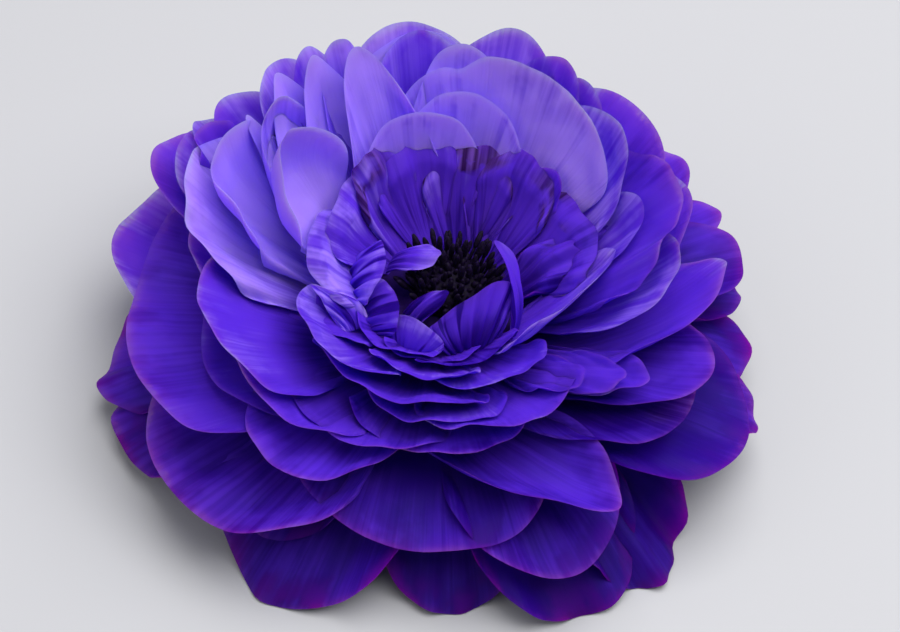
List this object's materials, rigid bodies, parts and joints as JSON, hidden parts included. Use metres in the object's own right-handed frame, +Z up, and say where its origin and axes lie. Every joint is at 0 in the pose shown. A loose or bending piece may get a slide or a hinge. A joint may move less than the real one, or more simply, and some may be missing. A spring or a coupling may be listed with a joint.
{
  "type": "ranunculus flower",
  "caption": "Open, many-layered ranunculus bloom with a cupped inner bowl, a stamened heart and drooping guard petals that it rests on.",
  "frame": {"origin": "centre of the bounding box on the surface that the bloom rests on", "axes": "+Z up along the flower's axis, +X to the right and -Y towards the viewer of the picture"},
  "size_m": [0.0934, 0.08, 0.0457],
  "materials": {
    "petal": "soft, finely veined violet-blue petal tissue",
    "stamen": "matt, near-black stamens and carpels",
    "calyx": "soft green sepals and stalk"
  },
  "bodies": {
    "root": {"petals": "petal", "stamens": "stamen", "calyx": "calyx"}
  },
  "joints": []
}
